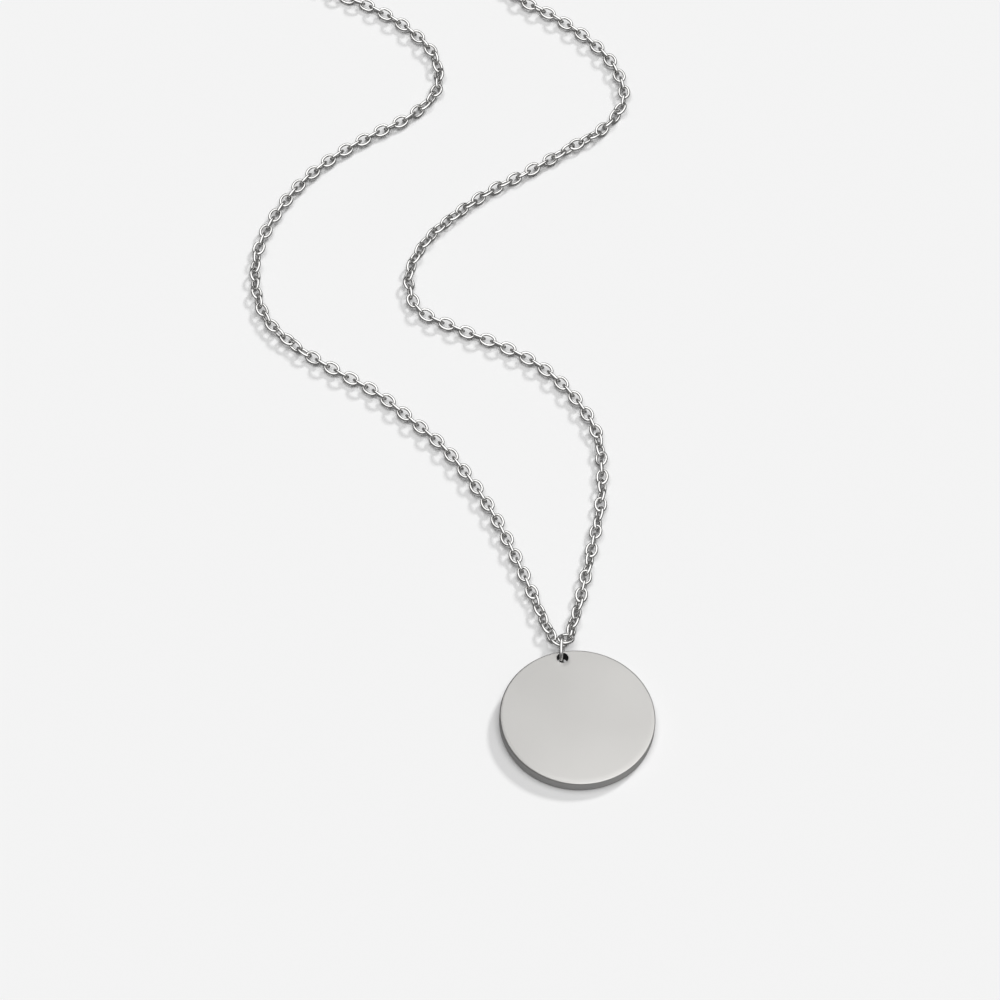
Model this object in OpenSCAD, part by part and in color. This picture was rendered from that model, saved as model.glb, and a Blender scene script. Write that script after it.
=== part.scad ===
// Coin necklace: a blank round coin hangs by an upright jump ring from a fine cable chain, which
// lies in loose curves as one closed loop and is fastened at the back by a plain claw clasp.

/* [Coin] */
// Diameter of the coin
coin_d = 25; // [24:0.5:26]
// Thickness of the coin
coin_t = 2; // [1.8:0.1:2.1]
// Width of the broken edge round both faces
coin_edge = 0.2; // [0.1:0.05:0.3]
// Diameter of the hole that the jump ring goes through
hole_d = 1.85; // [1.8:0.05:1.9]
// Middle of the hole to the coin's rim
hole_inset = 1.25; // [1.2:0.05:1.3]
// Height that the jump ring under it gives the coin's hole side, as an angle
coin_tilt = 2.1; // [2.05:0.05:2.2]

/* [Jump ring] */
// Outer diameter of the jump ring
ring_d = 5; // [4.95:0.05:5.1]
// Wire of the jump ring
ring_wire = 0.6; // [0.5:0.05:0.6]
// Lean of the upright ring toward the left strand, in degrees
ring_lean = 4.5; // [4:0.5:5.5]

/* [Chain] */
// Wire of the links
link_wire = 0.48; // [0.44:0.02:0.48]
// Length of a link over its wire
link_len = 3.05; // [3:0.05:3.15]
// Width of a link over its wire
link_w = 2.2; // [2.15:0.05:2.3]
// Play between two links along the chain
link_play = 0.15; // [0.14:0.02:0.24]
// Height that the jump ring gives the chain where it passes through
ring_lift = 0.5; // [0.45:0.05:0.55]

/* [Clasp] */
// Outer diameter of the small eye
eye_d = 3.3; // [3.2:0.1:3.5]
// Outer diameter of the claw's loop
claw_d = 4.6; // [4.2:0.1:5]
// Wire of the eye and of the claw
clasp_wire = 0.8; // [0.7:0.05:0.85]
// Diameter of the clasp's barrel
barrel_d = 2.1; // [1.8:0.1:2.1]
// Length of the barrel between the eye and the claw
barrel_len = 3.6; // [3.2:0.1:4]

/* [Hidden] */

steel = "gainsboro";
satin = "silver";
round_fn = 96;
wire_fn = 40;

// Plan of the loop as it lies, with the coin's middle at 0, 0: the points that the chain's middle
// passes, from the jump ring up the left strand, round the back and down the right strand
route = [
    [-3.5, 13.7], [-4, 14.3], [-4.8, 15.8], [-5.55, 17.4], [-6.3, 19.15], [-8.5, 24.5], [-12, 32.5],
    [-15.5, 39.5], [-19.5, 46], [-24.5, 52.5], [-30.5, 58], [-36.5, 63], [-43.5, 67], [-50.5, 71.5],
    [-56, 77], [-58.5, 84.5], [-58.4, 92.5], [-56, 100], [-52.1, 107.2], [-47.1, 113.2],
    [-41, 118.5], [-34.5, 123.5], [-30.2, 130], [-31.2, 137.6], [-36.4, 143.7], [-43.4, 148.2],
    [-51, 151.5], [-57, 157], [-59.5, 165], [-58, 173.5], [-53, 180.5], [-46, 183.6], [-37, 184],
    [-28, 183.6], [-22.3, 178.5], [-21.2, 170.5], [-20.5, 159], [-17, 152.5], [-10.5, 148.5],
    [-4.5, 144], [0.5, 138], [2.6, 130.4], [-0.9, 123.3], [-7, 118], [-13, 113], [-19.5, 108],
    [-25, 102.5], [-30, 96], [-32.5, 88.5], [-30.6, 81.3], [-23.5, 77.5], [-16, 74.5], [-9, 70.5],
    [-3.3, 64.7], [0.7, 57.7], [2, 50], [2, 42], [1, 34], [-0.4, 24.2], [-1.38, 19.1],
    [-1.75, 17.2], [-2.2, 15.2]
];
// The point of the route at the middle of the clasp
clasp_at = 32;

// Roll of every other link about the chain, each row a distance from the jump ring and an angle
// from lying flat; the links between them are turned a quarter further
roll_left = [[0, 30], [9, 30], [13, -15], [40, -21], [64, -30], [72.5, -29], [79.5, -90],
    [84, -85], [87, -81], [89, -65], [94.5, -53], [97, -37], [101.5, 7], [106, 13], [130, 27],
    [140.5, 25], [147.5, 86], [148.4, 80], [160.5, -22], [172, -30], [200, -90], [240, -90]];
roll_right = [[0, 50], [8, 50], [12.5, 4], [14.8, 5], [21, 88], [24, 86], [30.2, 7], [36.1, 79],
    [38.6, 79], [46, -11], [49, -18], [66, -30], [82, -30], [87, -17], [91, 26], [95, 51],
    [102, 63], [108, 67], [113, 49], [122, 48], [127, 31], [129, 29], [136, 105], [142, 27],
    [149.5, 91], [153, 80], [160, 68], [170, 62], [200, 90], [240, 90]];

// The links next to the jump ring, one on the left and two on the right, lie as it holds them and
// not along the route: each row is the link's middle, its roll, its climb and its heading
held_left = [[[-3.56, 14.65, 1.72], 18, 2, 157]];
held_right = [[[-2.53, 14.87, 2.25], -3, -14, 27], [[-1.85, 16.15, 1.74], 114, -62, 104]];

// Hole and jump ring: the ring stands on edge along Y and passes down through the hole
hole_dir = 105;
hole_r = coin_d / 2 - hole_inset;
ring_r = (ring_d - ring_wire) / 2;
ring_at = [hole_r * cos(hole_dir) - 0.15, hole_r * sin(hole_dir) + 1.65, ring_d / 2];

// A link on the middle of its wire: half-round ends of radius half_w, joined by straight sides
half_w = (link_w - link_wire) / 2;
end_x = (link_len - link_w) / 2;

// How the chain is laid: each strand has a little slack, drawn together over its links next to
// the jump ring, and rides up on the ring over a short length
pitch_max = link_len - 2 * link_wire - link_play;
left_slack = [1, 8];
right_slack = [2.2, 10];
lift_len = 5;
floor_gap = 0.05;
steps = 12;

// Distance from the clasp's middle to the last link on each side; the link's wire goes through
// the eye, so the eye's wire lies inside the link, this far from the link's middle
in_link = 0.46;
eye_r = (eye_d - clasp_wire) / 2;
claw_r = (claw_d - clasp_wire) / 2;
eye_at = -(barrel_len / 2 + eye_r);
claw_at = barrel_len / 2 + claw_r;
tab_d = 1.3;
tab_h = 1.5;
eye_reach = eye_r - eye_at + in_link;
claw_reach = claw_r + claw_at + in_link;

// Smooth curve through a closed list of points; u counts points from the first
function wrapped(points, i) = points[(i + len(points)) % len(points)];
function curve(points, u) =
    let (i = floor(u), t = u - i)
    let (a = wrapped(points, i - 1), b = wrapped(points, i))
    let (c = wrapped(points, i + 1), d = wrapped(points, i + 2))
    (2 * b + (c - a) * t + (2 * a - 5 * b + 4 * c - d) * t * t + (3 * b - a - 3 * c + d) * t * t * t) / 2;

// Running length along a list of points, from its first point
function run(points) = [
    for (i = 0, s = 0; i < len(points); s = s + norm(wrapped(points, i + 1) - points[i]), i = i + 1) s
];

// Height of the chain's middle: the links stand on the floor, higher at the jump ring
function chain_z(d, roll) = half_w * max(abs(sin(roll)), abs(cos(roll))) + link_wire / 2 + floor_gap
    + ring_lift * exp(-d * d / (lift_len * lift_len));

// One strand as four look-up tables, x, y and z by the length along it, and the length at the
// clasp; it starts a little before the jump ring and ends a little past the clasp
function strand(points, last, rolls) =
    let (flat = [for (k = [-steps : (last + 1) * steps]) curve(points, k / steps)])
    let (s = run(flat), d = [for (v = s) v - s[steps]])
    let (solid = [for (k = [0 : len(flat) - 1])
        [flat[k][0], flat[k][1], chain_z(abs(d[k]), lookup(abs(d[k]), rolls))]])
    let (t = run(solid), key = [for (v = t) v - t[steps]])
    [for (axis = [0 : 2]) [for (k = [0 : len(key) - 1]) [key[k], solid[k][axis]]],
        key[(last + 1) * steps]];
function on_strand(st, s) = [for (axis = [0 : 2]) lookup(s, st[axis])];

// The links of a strand, each as its middle, its roll, climb and heading: the held ones first,
// then the ones that follow the route; the count is odd, so that the first and last link lie alike
function link_count(length, slack) = 2 * ceil(((length + slack) / pitch_max - 0.5) / 2) + 1;
function laid(st, rolls, reach, loose, held) =
    let (length = st[3] - reach, slack = loose[0])
    let (n = link_count(length, slack), pitch = (length + slack) / (n - 0.5))
    concat(held, [for (i = [len(held) : n - 1])
        let (s = (i + 0.5) * pitch - slack * (1 - exp(-(i + 0.5) / loose[1])))
        let (way = on_strand(st, s + pitch / 2) - on_strand(st, s - pitch / 2))
        [on_strand(st, s), lookup(s, rolls) + 90 * (i % 2), asin(way[2] / norm(way)), atan2(way[1], way[0])]
    ]);

left_strand = strand(route, clasp_at, roll_left);
right_route = [for (i = [0 : len(route) - 1]) wrapped(route, -i)];
right_strand = strand(right_route, len(route) - clasp_at, roll_right);
left_links = laid(left_strand, roll_left, eye_reach, left_slack, held_left);
right_links = laid(right_strand, roll_right, claw_reach, right_slack, held_right);

// The clasp lies on the straight line between the two last links
left_end = left_links[len(left_links) - 1][0];
right_end = right_links[len(right_links) - 1][0];
clasp_way = right_end - left_end;
clasp_mid = left_end + clasp_way * (0.5 + (eye_reach - claw_reach) / (2 * norm(clasp_way)));
clasp_dir = atan2(clasp_way[1], clasp_way[0]);

// Half extent of a link along one axis of the floor (0 for X, 1 for Y)
function link_half(l, axis) =
    let (turn = l[3] - 90 * axis)
    let (a = abs(cos(turn) * cos(l[2])), b = abs(sin(turn) * cos(l[1]) + cos(turn) * sin(l[1]) * sin(l[2])))
    end_x * a + half_w * norm([a, b]) + link_wire / 2;

// The floor's box under the whole necklace: links at the left and right, the coin in front and
// on the right, the claw at the back
claw_mid = clasp_mid + claw_at * [cos(clasp_dir), sin(clasp_dir), 0];
low_x = min([for (l = left_links) l[0][0] - link_half(l, 0)]);
high_x = coin_d / 2;
low_y = -coin_d / 2;
high_y = max(claw_mid[1] + claw_d / 2, max([for (l = left_links) l[0][1] + link_half(l, 1)]));
middle = [(low_x + high_x) / 2, (low_y + high_y) / 2, 0];

// Part of a ring of round wire, from the X axis on
module wire_arc(r, wire, sweep) {
    rotate_extrude(angle = sweep, $fn = round_fn) translate([r, 0]) circle(d = wire, $fn = wire_fn);
}

// One link, flat, its length along X
module link() {
    for (end = [-1, 1])
        translate([end * end_x, 0, 0]) rotate([0, 0, -90 * end]) wire_arc(half_w, link_wire, 180);
    for (side = [-half_w, half_w])
        translate([-end_x, side, 0]) rotate([0, 90, 0]) cylinder(d = link_wire, h = 2 * end_x, $fn = wire_fn);
}

module chain(links) {
    for (l = links) translate(l[0] - middle) rotate([l[1], -l[2], l[3]]) link();
}

// The coin lies on the floor with its hole side raised by the jump ring beneath it
module coin() {
    r = coin_d / 2;
    e = coin_edge;
    color(satin) translate(-middle) rotate([0, 0, hole_dir]) translate([-r, 0, 0]) rotate([0, -coin_tilt, 0])
        translate([r, 0, 0]) difference() {
            rotate_extrude($fn = round_fn)
                polygon([[0, 0], [r - e, 0], [r, e], [r, coin_t - e], [r - e, coin_t], [0, coin_t]]);
            translate([hole_r, 0, -1]) cylinder(d = hole_d, h = coin_t + 2, $fn = wire_fn);
        }
}

module jump_ring() {
    color(steel) translate(ring_at - middle) rotate([0, -90 - ring_lean, 0])
        wire_arc(ring_r, ring_wire, 360);
}

module chain_left() {
    color(steel) chain(left_links);
}

module chain_right() {
    color(steel) chain(right_links);
}

// A plain claw clasp in one piece: a barrel with the eye at one end and the claw's loop, with
// its thumb tab, at the other
module clasp() {
    r = barrel_d / 2;
    h = barrel_len / 2 + 0.3;
    color(steel) translate(clasp_mid - middle) rotate([0, 0, clasp_dir]) {
        translate([eye_at, 0, 0]) wire_arc(eye_r, clasp_wire, 360);
        translate([claw_at, 0, 0]) wire_arc(claw_r, clasp_wire, 360);
        rotate([0, 90, 0]) rotate_extrude($fn = round_fn)
            polygon([[0, -h], [r / 2, -h], [r, -h + 0.6], [r, h - 0.6], [r / 2, h], [0, h]]);
        translate([claw_at - 0.8 * claw_r, -0.8 * claw_r, -tab_h / 2])
            cylinder(d = tab_d, h = tab_h, $fn = wire_fn);
    }
}

coin();
jump_ring();
chain_left();
chain_right();
clasp();
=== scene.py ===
import math

import bpy
import numpy as np
from mathutils import Matrix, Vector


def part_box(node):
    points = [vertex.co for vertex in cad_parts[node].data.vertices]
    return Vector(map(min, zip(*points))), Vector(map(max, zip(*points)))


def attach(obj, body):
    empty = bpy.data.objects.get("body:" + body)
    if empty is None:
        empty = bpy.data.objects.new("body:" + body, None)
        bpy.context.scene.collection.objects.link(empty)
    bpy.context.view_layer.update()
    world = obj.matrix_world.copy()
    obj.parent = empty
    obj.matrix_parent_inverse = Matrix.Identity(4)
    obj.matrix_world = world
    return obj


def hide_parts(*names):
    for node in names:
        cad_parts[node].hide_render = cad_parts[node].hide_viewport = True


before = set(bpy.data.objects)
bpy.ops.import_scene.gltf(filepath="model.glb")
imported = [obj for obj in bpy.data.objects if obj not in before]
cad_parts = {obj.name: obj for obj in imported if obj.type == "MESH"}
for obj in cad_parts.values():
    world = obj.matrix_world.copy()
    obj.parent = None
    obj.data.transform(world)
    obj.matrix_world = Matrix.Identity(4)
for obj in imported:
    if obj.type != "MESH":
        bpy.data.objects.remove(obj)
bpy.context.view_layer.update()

# Sizes of the necklace in metres
MM = 0.001
COIN_RADIUS = 12.5 * MM
COIN_THICKNESS = 2 * MM
COIN_ROUND = 0.2 * MM
HOLE_RADIUS = 0.925 * MM
HOLE_INSET = 1.25 * MM
HOLE_ROUND = 0.07 * MM
HOLE_DIRECTION = math.radians(105)
RING_RADIUS = 2.2 * MM
RING_WIRE = 0.3 * MM
LINK_HALF_LENGTH = 1.285 * MM
LINK_HALF_WIDTH = 0.86 * MM
LINK_WIRE = 0.24 * MM
LINK_SQUARENESS = 2.15
EYE_RADIUS = 1.25 * MM
CLAW_RADIUS = 1.9 * MM
CLASP_WIRE = 0.4 * MM
BARREL_RADIUS = 1.05 * MM
BARREL_HALF = 1.8 * MM
BARREL_OVERLAP = 0.3 * MM
BARREL_ROUND = 0.6 * MM
TAB_RADIUS = 0.65 * MM
TAB_HALF = 0.75 * MM
TAB_CHAMFER = 0.8
TAB_PLACE = 0.8
LINK_TO_RIM = 0.46 * MM

# How finely each curve is divided: steps along it and steps round it
LINK_STEPS = (24, 12)
RING_STEPS = (64, 20)
EYE_STEPS = (40, 16)
CLAW_STEPS = (48, 16)
BARREL_STEPS = (9, 32)
TAB_STEPS = 24
COIN_STEPS = 144
COIN_RINGS = 24
COIN_EDGE_STEPS = 6

# The photograph's camera, from the coin's middle: a long lens looking down over the coin
CAMERA_PLACE = np.array([-14.60, -437.47, 673.96]) * MM
CAMERA_DOWN = math.radians(54.5)
CAMERA_ROLL = math.radians(3.65)
CAMERA_LENS = 180

# The studio's light
ROOM_LIGHT = 0.18
KEY_POWER = 1.35
KEY_AZIMUTH = math.radians(57)
KEY_ELEVATION = math.radians(37)
KEY_SPREAD = math.radians(10)
FILL_POWER = 1.77
FILL_SPREAD = math.radians(55)
COIN_PANEL_LIGHT = 1.46
COIN_PANEL_PLACE = np.array([228, -143, 280]) * MM
COIN_PANEL_SIZE = (0.546, 0.714)
WIRE_PANEL_LIGHT = 1.75
WIRE_PANEL_PLACE = np.array([-25, -110, 1000]) * MM
WIRE_PANEL_SIZE = (2.1, 2.9)
FLOOR_WHITE = (0.9, 0.9, 0.9, 1)
FLOOR_HALF = 6.0


def joined(parts):
    """One list of vertices and one of faces, from several pairs of vertices and faces."""
    offsets = np.cumsum([0] + [len(vertices) for vertices, _ in parts[:-1]])
    vertices = np.vstack([vertices for vertices, _ in parts])
    faces = np.vstack([faces + start for (_, faces), start in zip(parts, offsets)])
    return vertices, faces


def piece(name, vertices, faces, material, slot, *nodes):
    """A smooth-shaded mesh of four-sided faces that rides on the body and stands for CAD nodes."""
    mesh = bpy.data.meshes.new(name)
    mesh.from_pydata(vertices.tolist(), [], faces.tolist())
    mesh.polygons.foreach_set("use_smooth", np.ones(len(faces), dtype=bool))
    mesh.materials.append(material)
    mesh.update()
    made = bpy.data.objects.new(name, mesh)
    bpy.context.scene.collection.objects.link(made)
    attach(made, "root")
    if nodes:
        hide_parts(*nodes)
    return made


def grid_faces(rows, columns):
    """Faces of a grid that closes on itself both ways, such as a ring's skin."""
    row, column = np.meshgrid(np.arange(rows), np.arange(columns), indexing="ij")
    next_row, next_column = (row + 1) % rows, (column + 1) % columns
    corners = [row * columns + column, next_row * columns + column]
    corners += [next_row * columns + next_column, row * columns + next_column]
    return np.stack(corners, -1).reshape(-1, 4)


def wire_loop(path, wire, sides):
    """Round wire along a flat closed path (n, 2): each point plus the wire's radius times a circle
    spanned by the path's outward normal and Z, as a grid of n by sides."""
    ahead = np.roll(path, -1, 0) - np.roll(path, 1, 0)
    ahead /= np.linalg.norm(ahead, axis=1)[:, None]
    outward = np.stack([ahead[:, 1], -ahead[:, 0], np.zeros(len(path))], 1)
    turn = np.arange(sides) * 2 * math.pi / sides
    middle = np.column_stack([path, np.zeros(len(path))])
    spokes = np.cos(turn)[:, None] * outward[:, None] + np.sin(turn)[:, None] * np.array([0, 0, 1.0])
    return (middle[:, None] + wire * spokes).reshape(-1, 3), grid_faces(len(path), sides)


def circle_path(radius, count):
    """Points of a circle: radius times cosine and sine of equal steps."""
    turn = np.arange(count) * 2 * math.pi / count
    return radius * np.stack([np.cos(turn), np.sin(turn)], 1)


def oval_path(half_length, half_width, squareness, count):
    """A superellipse: each axis is its half size times the cosine or sine raised to two over the
    squareness, which lies between an ellipse's 2 and a racetrack's fuller sides."""
    turn = (np.arange(count) + 0.5) * 2 * math.pi / count
    c, s = np.cos(turn), np.sin(turn)
    power = 2 / squareness
    return np.stack([half_length * np.sign(c) * np.abs(c) ** power,
                     half_width * np.sign(s) * np.abs(s) ** power], 1)


def revolved(along, radius, sides):
    """A profile turned about the X axis: the ring of vertices at each station along has that
    radius, and the first and last stations have none, so both ends close."""
    turn = np.arange(sides) * 2 * math.pi / sides
    x = np.repeat(along, sides)
    y = np.outer(radius, np.cos(turn)).ravel()
    z = np.outer(radius, np.sin(turn)).ravel()
    row, column = np.meshgrid(np.arange(len(along) - 1), np.arange(sides), indexing="ij")
    beside = (column + 1) % sides
    corners = [row * sides + column, row * sides + beside]
    corners += [(row + 1) * sides + beside, (row + 1) * sides + column]
    return np.stack([x, y, z], 1), np.stack(corners, -1).reshape(-1, 4)


def node_mesh(name):
    """Vertices and edges of a CAD node, as arrays."""
    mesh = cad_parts[name].data
    vertices = np.empty(len(mesh.vertices) * 3)
    edges = np.empty(len(mesh.edges) * 2, dtype=np.int64)
    mesh.vertices.foreach_get("co", vertices)
    mesh.edges.foreach_get("vertices", edges)
    return vertices.reshape(-1, 3), edges.reshape(-1, 2)


def solids_of(name):
    """The separate solids of a CAD node: vertices that share a place or an edge take the lowest
    number among them until nothing changes, and each number left is one solid."""
    vertices, edges = node_mesh(name)
    keys = np.round(vertices / (0.001 * MM)).astype(np.int64)
    _, same = np.unique(keys, axis=0, return_inverse=True)
    same = same.reshape(-1)
    edges = same[edges]
    label = np.arange(same.max() + 1)
    while True:
        before = label.copy()
        np.minimum.at(label, edges[:, 0], before[edges[:, 1]])
        np.minimum.at(label, edges[:, 1], before[edges[:, 0]])
        label = label[label]
        if np.array_equal(label, before):
            break
    label = label[same]
    return [vertices[label == number] for number in np.unique(label)]


def place_of(points):
    """Middle and axes of a solid, longest axis first: the directions in which its points spread
    most, next and least, and the middle of its reach along each."""
    _, _, axes = np.linalg.svd(points - points.mean(0), full_matrices=False)
    axes[2] = np.cross(axes[0], axes[1])
    reach = points @ axes.T
    return (reach.min(0) + reach.max(0)) / 2 @ axes, axes


def placed(vertices, middle, axes):
    """Vertices given along a piece's own axes (its rows), put where the piece lies."""
    return middle + vertices @ axes


def chain(name, material):
    """Every link of one strand, each an oval of round wire in its CAD solid's place."""
    oval = oval_path(LINK_HALF_LENGTH, LINK_HALF_WIDTH, LINK_SQUARENESS, LINK_STEPS[0])
    link, faces = wire_loop(oval, LINK_WIRE, LINK_STEPS[1])
    places = [place_of(points) for points in solids_of(name)]
    vertices, all_faces = joined([(placed(link, *place), faces) for place in places])
    made = piece(name + "_links", vertices, all_faces, material, "polished_steel", name)
    return made, np.array([middle for middle, _ in places])


def jump_ring(material):
    """The ring is round wire carried round a circle in its CAD solid's place."""
    middle, axes = place_of(node_mesh("jump_ring")[0])
    vertices, faces = wire_loop(circle_path(RING_RADIUS, RING_STEPS[0]), RING_WIRE, RING_STEPS[1])
    vertices = placed(vertices, middle, axes)
    return piece("jump_ring_wire", vertices, faces, material, "polished_steel", "jump_ring")


def quarter(from_angle, steps):
    """Angles of a quarter turn that starts at from_angle, for a rounded edge."""
    return from_angle + np.linspace(0, math.pi / 2, steps)


def coin(face_material, rim_material_and_shade, hole_shade_material):
    """The coin is a closed stack of circles: up the hole's wall, out over the face, down the rim
    and back under it. Each circle has a radius and a height, and its middle slides from the
    hole's middle to the coin's as the share runs from 0 to 1."""
    top, bend, small = COIN_THICKNESS, COIN_ROUND, HOLE_ROUND
    hole_edge = HOLE_RADIUS + small
    rim_edge = COIN_RADIUS - bend
    steps, rings = COIN_EDGE_STEPS, COIN_RINGS
    up, down = quarter(0, steps), quarter(math.pi / 2, steps)
    across = (np.arange(rings) + 1) / (rings + 1)
    face = hole_edge + (rim_edge - hole_edge) * across
    radius = np.concatenate([
        hole_edge + small * np.cos(down[::-1]), face, rim_edge + bend * np.cos(up[::-1]),
        rim_edge + bend * np.cos(up), face[::-1], hole_edge + small * np.cos(down)])
    height = np.concatenate([
        top - small + small * np.sin(down[::-1]), np.full(rings, top),
        top - bend + bend * np.sin(up[::-1]), bend - bend * np.sin(up),
        np.zeros(rings), small - small * np.sin(down)])
    share = np.concatenate([
        np.zeros(steps), across, np.ones(2 * steps), across[::-1], np.zeros(steps)])
    turn = np.arange(COIN_STEPS) * 2 * math.pi / COIN_STEPS
    hole = COIN_RADIUS - HOLE_INSET
    x = np.outer(radius, np.cos(turn)) + (hole * (1 - share))[:, None]
    y = np.outer(radius, np.sin(turn))
    z = np.repeat((height - top / 2)[:, None], len(turn), 1)
    vertices = np.stack([x, y, z], -1).reshape(-1, 3)
    faces = grid_faces(len(radius), len(turn))
    middle, axes = place_of(node_mesh("coin")[0])
    normal = axes[2] * np.sign(axes[2, 2])
    toward_hole = np.array([math.cos(HOLE_DIRECTION), math.sin(HOLE_DIRECTION), 0])
    along = toward_hole - normal * (toward_hole @ normal)
    along /= np.linalg.norm(along)
    axes = np.array([along, np.cross(normal, along), normal])
    made = piece("coin_disc", placed(vertices, middle, axes), faces, face_material, "satin_steel", "coin")
    made.data.materials.append(rim_material_and_shade)
    made.data.materials.append(hole_shade_material)
    row = np.arange(len(faces)) // len(turn)
    rim_wall = 2 * steps + rings - 1
    hole_wall = len(radius) - 1
    # Material 1 on the rim wall is a darker steel whose tone is partly painted shade; material 2 on the
    # hole's wall is near-black painted shade.
    finish_and_painted_shade = np.where(row == rim_wall, 1, np.where(row == hole_wall, 2, 0)).astype(np.int32)
    made.data.polygons.foreach_set("material_index", finish_and_painted_shade)
    return made


def clasp(left_end, right_end, material):
    """The clasp lies on the line between the last links: a barrel turned about that line, with
    an eye, a claw's loop and a thumb knob of round wire and profile."""
    way = right_end - left_end
    length = np.linalg.norm(way)
    ahead = way / length
    axes = np.array([ahead, np.cross([0, 0, 1.0], ahead), [0, 0, 1.0]])
    eye_reach = BARREL_HALF + 2 * EYE_RADIUS + LINK_TO_RIM
    claw_reach = BARREL_HALF + 2 * CLAW_RADIUS + LINK_TO_RIM
    middle = left_end + ahead * (length + eye_reach - claw_reach) / 2
    eye, eye_faces = wire_loop(circle_path(EYE_RADIUS, EYE_STEPS[0]), CLASP_WIRE, EYE_STEPS[1])
    claw, claw_faces = wire_loop(circle_path(CLAW_RADIUS, CLAW_STEPS[0]), CLASP_WIRE, CLAW_STEPS[1])
    eye = eye - [BARREL_HALF + EYE_RADIUS, 0, 0]
    claw = claw + [BARREL_HALF + CLAW_RADIUS, 0, 0]
    bend = np.linspace(0, math.pi / 2, BARREL_STEPS[0])
    half = BARREL_HALF + BARREL_OVERLAP
    inward = BARREL_ROUND * (1 - np.cos(bend))
    along = np.concatenate([-half + inward, half - inward[::-1]])
    width = np.concatenate([np.sin(bend), np.sin(bend[::-1])]) * BARREL_RADIUS
    barrel = revolved(along, width, BARREL_STEPS[1])
    edge = TAB_CHAMFER
    knob, knob_faces = revolved(TAB_HALF * np.array([-1, -1, -edge, edge, 1, 1]),
                                TAB_RADIUS * np.array([0, edge, 1, 1, edge, 0]), TAB_STEPS)
    knob_place = [BARREL_HALF + (1 - TAB_PLACE) * CLAW_RADIUS, -TAB_PLACE * CLAW_RADIUS, 0]
    knob = knob[:, [1, 2, 0]] + knob_place
    parts = [(eye, eye_faces), (claw, claw_faces), barrel, (knob, knob_faces)]
    vertices, faces = joined([(placed(v, middle, axes), f) for v, f in parts])
    return piece("clasp_body", vertices, faces, material, "polished_steel", "clasp")


def steel(name, metal, colour, roughness, grain, bump, coarse):
    """Bare steel: its gloss and tone wander between two values with a coarse noise, and a fine
    noise, the grain, lifts it by a hair, all on the piece's own coordinates."""
    material = bpy.data.materials.new(name)
    material.use_nodes = True
    nodes, links = material.node_tree.nodes, material.node_tree.links
    shader = nodes["Principled BSDF"]
    shader.inputs["Metallic"].default_value = metal
    place = nodes.new("ShaderNodeTexCoord")
    clouds = nodes.new("ShaderNodeTexNoise")
    clouds.inputs["Scale"].default_value = coarse
    clouds.inputs["Detail"].default_value = 3
    links.new(place.outputs["Object"], clouds.inputs["Vector"])
    gloss = nodes.new("ShaderNodeMapRange")
    gloss.inputs["From Min"].default_value = 0.3
    gloss.inputs["From Max"].default_value = 0.7
    gloss.inputs["To Min"].default_value = roughness[0]
    gloss.inputs["To Max"].default_value = roughness[1]
    links.new(clouds.outputs["Fac"], gloss.inputs["Value"])
    links.new(gloss.outputs["Result"], shader.inputs["Roughness"])
    tone = nodes.new("ShaderNodeValToRGB")
    tone.color_ramp.elements[0].position = 0.3
    tone.color_ramp.elements[1].position = 0.7
    tone.color_ramp.elements[0].color = (*[0.97 * c for c in colour], 1)
    tone.color_ramp.elements[1].color = (*colour, 1)
    links.new(clouds.outputs["Fac"], tone.inputs["Fac"])
    links.new(tone.outputs["Color"], shader.inputs["Base Color"])
    fine = nodes.new("ShaderNodeTexNoise")
    fine.inputs["Scale"].default_value = grain
    fine.inputs["Detail"].default_value = 2
    links.new(place.outputs["Object"], fine.inputs["Vector"])
    lift = nodes.new("ShaderNodeBump")
    lift.inputs["Strength"].default_value = bump
    lift.inputs["Distance"].default_value = 0.01 * MM
    links.new(fine.outputs["Fac"], lift.inputs["Height"])
    links.new(lift.outputs["Normal"], shader.inputs["Normal"])
    return material


def satin_steel():
    """The coin's even satin: soft, wide reflections with a grain too fine to read as lines."""
    return steel("satin_steel", 1.0, (0.62, 0.611, 0.594), (0.36, 0.42), 9000, 0.25, 60)


def rim_steel_and_painted_shade():
    """The coin's rim, left duller than its faces by the tumbler; its darker tone is painted shade,
    standing in for the dim surroundings the upright rim faces.
    """
    return steel("rim_steel_and_painted_shade", 0.5, (0.44, 0.435, 0.43), (0.42, 0.5), 6000, 0.3, 300)


def hole_painted_shade():
    """The wall of the drilled hole, nearly black: painted shade for the deep hole that light hardly
    reaches.
    """
    return steel("hole_painted_shade", 0.5, (0.05, 0.05, 0.05), (0.5, 0.6), 6000, 0.3, 300)


def polished_steel():
    """The chain's polish: sharp reflections, a little softer where the links have rubbed."""
    return steel("polished_steel", 1.0, (0.66, 0.655, 0.645), (0.11, 0.16), 3000, 0.12, 700)


def ring_steel():
    """The jump ring's softer polish, which spreads its bright line over the wire."""
    return steel("ring_steel", 1.0, (0.66, 0.655, 0.645), (0.2, 0.26), 3000, 0.12, 700)


def floor():
    """A plain pale floor that the necklace lies on, far wider than any view. The steel doesn't
    mirror it, so the wires keep the dark lines of the dim room."""
    material = bpy.data.materials.new("pale_floor")
    material.use_nodes = True
    shader = material.node_tree.nodes["Principled BSDF"]
    shader.inputs["Base Color"].default_value = FLOOR_WHITE
    shader.inputs["Roughness"].default_value = 0.9
    shader.inputs["Specular IOR Level"].default_value = 0.0
    mesh = bpy.data.meshes.new("floor")
    half = FLOOR_HALF
    corners = [(-half, -half, 0), (half, -half, 0), (half, half, 0), (-half, half, 0)]
    mesh.from_pydata(corners, [], [(0, 1, 2, 3)])
    mesh.materials.append(material)
    made = bpy.data.objects.new("floor", mesh)
    bpy.context.scene.collection.objects.link(made)
    made.visible_glossy = False


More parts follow.
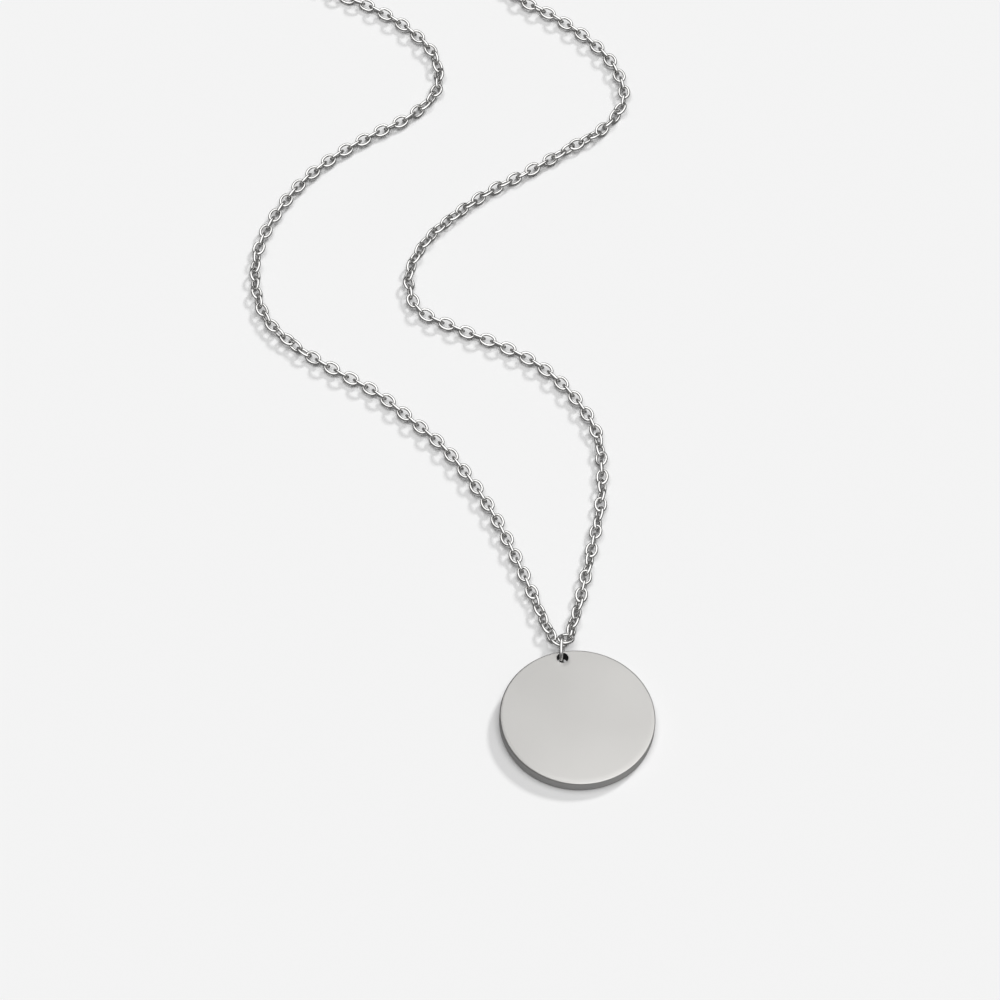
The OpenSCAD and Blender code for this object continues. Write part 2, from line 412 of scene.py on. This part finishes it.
def studio_walls():
    """The room round the set: an even dim grey that the polished steel mirrors as its dark lines."""
    world = bpy.data.worlds.new("studio")
    bpy.context.scene.world = world
    world.use_nodes = True
    backdrop = world.node_tree.nodes["Background"]
    backdrop.inputs["Color"].default_value = (ROOM_LIGHT, ROOM_LIGHT, ROOM_LIGHT, 1)
    backdrop.inputs["Strength"].default_value = 1.0


def direction(azimuth, elevation):
    """Unit vector toward a place on the sky: the azimuth turns from +X to +Y."""
    level = math.cos(elevation)
    return np.array([math.cos(azimuth) * level, math.sin(azimuth) * level, math.sin(elevation)])


def aimed_lamp(name, kind, toward, place):
    """A lamp at that place that shines away from the direction given."""
    side = np.cross([0, 1.0, 0] if abs(toward[2]) > 0.99 else [0, 0, 1.0], toward)
    side /= np.linalg.norm(side)
    turn = np.column_stack([side, np.cross(toward, side), toward])
    data = bpy.data.lights.new(name, kind)
    made = bpy.data.objects.new(name, data)
    rows = [[*row, step] for row, step in zip(turn.tolist(), place.tolist())]
    made.matrix_world = Matrix(rows + [[0, 0, 0, 1]])
    bpy.context.scene.collection.objects.link(made)
    return made


def key_light(about):
    """The soft lamp behind and to the right that throws the shadows to the lower left."""
    toward = direction(KEY_AZIMUTH, KEY_ELEVATION)
    lamp = aimed_lamp("key", "SUN", toward, about + toward)
    lamp.data.energy = KEY_POWER
    lamp.data.angle = KEY_SPREAD
    lamp.visible_glossy = False


def fill_light(about):
    """Even light from a wide part of the tent overhead, which the white floor takes up."""
    toward = np.array([0, 0, 1.0])
    lamp = aimed_lamp("fill", "SUN", toward, about + toward)
    lamp.data.energy = FILL_POWER
    lamp.data.angle = FILL_SPREAD
    lamp.visible_glossy = False


def panel(name, about, place, size, light, steel_pieces):
    """A broad panel overhead that only those pieces of steel mirror."""
    lamp = aimed_lamp(name, "AREA", np.array([0, 0, 1.0]), about + place)
    lamp.data.shape = "RECTANGLE"
    lamp.data.size, lamp.data.size_y = size
    lamp.data.energy = light * math.pi * size[0] * size[1]
    lamp.visible_camera = False
    mirrors = bpy.data.collections.new(name + "_mirrors")
    for made in steel_pieces:
        mirrors.objects.link(made)
    lamp.light_linking.receiver_collection = mirrors


def camera(coin_middle):
    """The photograph's camera: it looks along +Y and down, rolled a little."""
    ahead = np.array([0, math.cos(CAMERA_DOWN), -math.sin(CAMERA_DOWN)])
    level_up = np.array([0, math.sin(CAMERA_DOWN), math.cos(CAMERA_DOWN)])
    level_right = np.array([1.0, 0, 0])
    c, s = math.cos(CAMERA_ROLL), math.sin(CAMERA_ROLL)
    right = c * level_right + s * level_up
    up = c * level_up - s * level_right
    turn = np.column_stack([right, up, -ahead])
    place = coin_middle + CAMERA_PLACE
    data = bpy.data.cameras.new("camera")
    data.lens = CAMERA_LENS
    data.sensor_width = 36
    data.clip_start = 0.05
    data.clip_end = 20
    made = bpy.data.objects.new("camera", data)
    rows = [[*row, step] for row, step in zip(turn.tolist(), place.tolist())]
    made.matrix_world = Matrix(rows + [[0, 0, 0, 1]])
    bpy.context.scene.collection.objects.link(made)
    bpy.context.scene.camera = made


satin = satin_steel()
polished = polished_steel()
# The rim steel's darker tone is partly painted shade, and the hole's near-black steel is painted shade.
disc = coin(satin, rim_steel_and_painted_shade(), hole_painted_shade())
ring = jump_ring(ring_steel())
left_chain, left_middles = chain("chain_left", polished)
right_chain, right_middles = chain("chain_right", polished)
low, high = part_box("clasp")
clasp_middle = (np.array(low) + np.array(high)) / 2
left_end = left_middles[np.linalg.norm(left_middles - clasp_middle, axis=1).argmin()]
right_end = right_middles[np.linalg.norm(right_middles - clasp_middle, axis=1).argmin()]
closing = clasp(left_end, right_end, polished)
wires = [ring, left_chain, right_chain, closing]

low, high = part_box("coin")
coin_middle = np.array([(low[0] + high[0]) / 2, (low[1] + high[1]) / 2, 0])
floor()
studio_walls()
key_light(coin_middle)
fill_light(coin_middle)
panel("coin_panel", coin_middle, COIN_PANEL_PLACE, COIN_PANEL_SIZE, COIN_PANEL_LIGHT, [disc])
panel("wire_panel", coin_middle, WIRE_PANEL_PLACE, WIRE_PANEL_SIZE, WIRE_PANEL_LIGHT, wires)
camera(coin_middle)
bpy.context.scene.view_settings.view_transform = "Standard"
